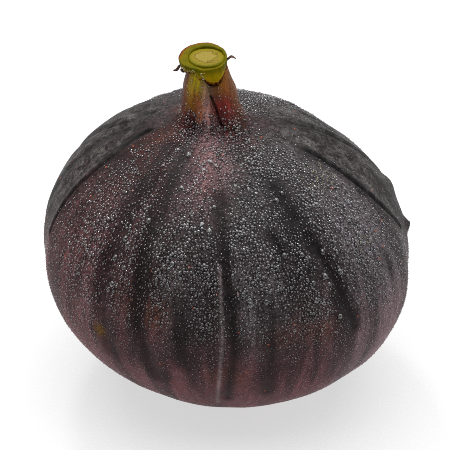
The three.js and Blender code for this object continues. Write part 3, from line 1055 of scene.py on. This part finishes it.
trail_material, tree = new_material("dried_grey_sap")
points = add(tree, "ShaderNodeTexCoord").outputs["Object"]
crust = add(tree, **NOISE, in_Vector=points, in_Scale=1 / CRUST).outputs[0]
colour = add(tree, **LAY, in_0=crust, in_6=linear("#76705f"), in_7=linear("#4c483c"))
surface = add(tree, "ShaderNodeBsdfPrincipled", in_Base_Color=colour.outputs[2],
              in_Roughness=0.6, in_Specular_IOR_Level=0.2)
add(tree, "ShaderNodeOutputMaterial", in_Surface=surface.outputs[0])

# %% Scatter the trails
TRAIL_SEED = 8
TRAIL_BEND = 0.9
# Each patch of trails: azimuth and height of its middle, half width in degrees, half height in
# mm, and how many trails lie there.
TRAILS = [(329, 39.2, 9, 1.2, 26), (325, 31.6, 2.6, 0.8, 9)]

trails_bm = bmesh.new()
rng = np.random.default_rng(TRAIL_SEED)
for middle, level, wide, high, count in TRAILS:
    for trail in range(count):
        azimuth, height = middle + rng.uniform(-wide, wide), level + rng.uniform(-high, high)
        size = rng.uniform(0.07, 0.11) * MM
        shape = Vector((size * rng.uniform(3, 6), size, size))
        matrix = resting(azimuth, height, shape, rng.uniform(0, pi))
        made = bmesh.ops.create_icosphere(trails_bm, subdivisions=2, radius=1)["verts"]
        for vert in made:
            vert.co.y += TRAIL_BEND * vert.co.x ** 2
        bmesh.ops.transform(trails_bm, matrix=matrix, verts=made)
dried_trails = piece_from(trails_bm, "dried_trails", trail_material)
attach(dried_trails, "root")
print("dried trails:", sum(patch[-1] for patch in TRAILS))

# %% [markdown]
# ## Dew
#
# Mist that settles on wax stays in separate beads, because wax sheds water. Thousands of beads
# can't be placed by hand, so Geometry Nodes scatters one small dome over the skin. Poisson
# spacing keeps most beads apart, and only the largest run into their neighbours. The map of
# wetness on the skin sets how close they lie. A dome has few faces, because it is repeated so
# often, and the beads are made in eight sectors, so that no one mesh grows too heavy.

# %% One bead of water
BEAD_SIDES = 8
BEAD_BANDS = 2
BEAD_HEIGHT = 0.85  # over the skin, as a share of the bead's radius
BEAD_SINK = 0.25  # and below it


def water_dome(sides, bands):
    """A bmesh of a dome of unit radius on +Z with a closed floor, sunk a little below zero."""
    bm = bmesh.new()
    bmesh.ops.create_uvsphere(bm, u_segments=sides, v_segments=bands * 2, radius=1)
    bmesh.ops.bisect_plane(bm, geom=bm.verts[:] + bm.edges[:] + bm.faces[:], plane_co=(0, 0, 0),
                           plane_no=(0, 0, -1), clear_outer=True, dist=1e-4)
    bmesh.ops.contextual_create(bm, geom=[e for e in bm.edges if e.is_boundary])
    bmesh.ops.scale(bm, verts=bm.verts, vec=(1, 1, BEAD_HEIGHT + BEAD_SINK))
    bmesh.ops.translate(bm, verts=bm.verts, vec=(0, 0, -BEAD_SINK))
    bmesh.ops.recalc_face_normals(bm, faces=bm.faces)
    return bm


# %% Clear water
# Water gives the eye a clear bead with one bright glint. Its index of refraction is 1.33. The
# real glint is too small to show at arm's length, so a coat that reflects more strongly and more
# softly than water does stands in for it.
dew_material, tree = new_material("dew_clear_water")
surface = add(tree, "ShaderNodeBsdfPrincipled", in_Base_Color=linear("#e8ecf0"),
              in_Transmission_Weight=1.0, in_IOR=1.33, in_Roughness=0.1, in_Coat_Weight=1.0,
              in_Coat_IOR=1.72, in_Coat_Roughness=0.36)
add(tree, "ShaderNodeOutputMaterial", in_Surface=surface.outputs[0])

# %% Where the beads go and how large they are
SECTORS = 8
BEAD_SPACING = 0.37 * MM
BEAD_SIZES = (0.16 * MM, 0.37 * MM)  # the radius of the smallest and of the largest
DENSEST = 50.0e6  # beads tried on a square metre, far more than their spacing lets stay
BEAD_SEED = 3


def outside(group, sector):
    """Whether a point lies in another sector of the fruit than this one."""
    place = add(group, "GeometryNodeInputPosition").outputs[0]
    parts = add(group, "ShaderNodeSeparateXYZ", in_0=place)
    angle = add(group, "ShaderNodeMath", operation="ARCTAN2", in_0=parts.outputs[1],
                in_1=parts.outputs[0]).outputs[0]
    turn = add(group, "ShaderNodeMath", operation="DIVIDE", in_0=angle, in_1=2 * pi).outputs[0]
    turn = add(group, "ShaderNodeMath", operation="FRACT", in_0=turn).outputs[0]
    index = add(group, **TIMES, in_0=turn, in_1=SECTORS).outputs[0]
    index = add(group, "ShaderNodeMath", operation="FLOOR", in_0=index).outputs[0]
    return add(group, "FunctionNodeCompare", data_type="FLOAT", operation="NOT_EQUAL",
               in_0=index, in_1=float(sector)).outputs[0]


def bead_radius(group):
    """The radius of the bead at a point."""
    small, large = BEAD_SIZES
    chance = add(group, "FunctionNodeRandomValue", data_type="FLOAT", in_2=0.0, in_3=1.0,
                 in_8=BEAD_SEED + 1).outputs[1]
    # Most beads are small and a few are large, so the chance is squared.
    squared = add(group, "ShaderNodeMath", operation="POWER", in_0=chance, in_1=2.0).outputs[0]
    size = add(group, "ShaderNodeMath", operation="MULTIPLY_ADD", in_0=squared,
               in_1=large - small, in_2=small).outputs[0]
    local = add(group, "GeometryNodeInputNamedAttribute", data_type="FLOAT", in_Name="bead_size")
    return add(group, **TIMES, in_0=size, in_1=local.outputs[0]).outputs[0]


# %% Scatter the beads
def scatter(surface, bead, sector):
    """A node group that lays beads on one sector of a surface, as real geometry."""
    group = bpy.data.node_groups.new(f"scatter_{sector}", "GeometryNodeTree")
    group.interface.new_socket("Geometry", in_out="OUTPUT", socket_type="NodeSocketGeometry")
    scanned = add(group, "GeometryNodeObjectInfo", in_Object=surface)
    shape = add(group, "GeometryNodeObjectInfo", in_Object=bead)
    wetness = add(group, "GeometryNodeInputNamedAttribute", data_type="FLOAT", in_Name="wet")
    spread = add(group, "GeometryNodeDistributePointsOnFaces", distribute_method="POISSON",
                 in_Mesh=scanned.outputs["Geometry"], in_Density_Factor=wetness.outputs[0],
                 in_Distance_Min=BEAD_SPACING, in_Density_Max=DENSEST, in_Seed=BEAD_SEED)
    kept = add(group, "GeometryNodeDeleteGeometry", domain="POINT",
               in_0=spread.outputs["Points"], in_1=outside(group, sector))
    beads = add(group, "GeometryNodeInstanceOnPoints", in_Points=kept.outputs[0],
                in_Instance=shape.outputs["Geometry"], in_Rotation=spread.outputs["Rotation"],
                in_Scale=bead_radius(group))
    real = add(group, "GeometryNodeRealizeInstances", in_0=beads.outputs[0])
    add(group, "NodeGroupOutput", in_0=real.outputs[0])
    return group


def dew_piece(name, group, material):
    """The beads that a node group makes, as one plain mesh that rides with the fruit."""
    holder = bpy.data.objects.new(name + "_maker", bpy.data.meshes.new(name + "_maker"))
    bpy.context.scene.collection.objects.link(holder)
    holder.modifiers.new("scatter", "NODES").node_group = group
    mesh = evaluated_mesh(holder, name)
    bpy.data.objects.remove(holder)
    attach(put_in_scene(mesh, name, material), "root")
    return len(mesh.vertices)


bead = piece_from(water_dome(BEAD_SIDES, BEAD_BANDS), "bead", dew_material)
bead_verts = len(bead.data.vertices)
counts = [dew_piece(f"dew_{sector + 1}", scatter(fig_skin, bead, sector), dew_material)
          // bead_verts for sector in range(SECTORS)]
bpy.data.objects.remove(bead)
print("beads by sector:", counts, "in all:", sum(counts))

# %% [markdown]
# ## Large drops
#
# Here and there on the front, beads have run together into one larger drop, a little longer down
# the slope. There are only a few dozen, so they need no node group: a loop lays each one on the
# skin, with more sides than a bead has, because it is seen better.

# %% A few drops that have run together
DROPS = 46
DROP_SIDES = 16
DROP_BANDS = 3
DROP_SEED = 5
DROP_AZIMUTHS = (232, 318)
DROP_HEIGHTS = (24, 42.5)
DROP_SIZES = (0.30, 0.50)  # radius in mm
DROP_LENGTHS = (1.0, 1.4)  # how much longer than wide
DROP_RISE = 0.8  # how much lower than a bead of the same width

dome = piece_from(water_dome(DROP_SIDES, DROP_BANDS), "dome")
drops_bm = bmesh.new()
rng = np.random.default_rng(DROP_SEED)
for drop in range(DROPS):
    azimuth, height = rng.uniform(*DROP_AZIMUTHS), rng.uniform(*DROP_HEIGHTS)
    size = rng.uniform(*DROP_SIZES) * MM
    shape = Vector((size, size * rng.uniform(*DROP_LENGTHS), size * DROP_RISE))
    drops_bm.from_mesh(dome.data)
    drops_bm.verts.ensure_lookup_table()
    made = drops_bm.verts[-len(dome.data.vertices):]
    bmesh.ops.transform(drops_bm, matrix=resting(azimuth, height, shape), verts=made)
bpy.data.objects.remove(dome)
large_drops = piece_from(drops_bm, "dew_drops", dew_material)
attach(large_drops, "root")
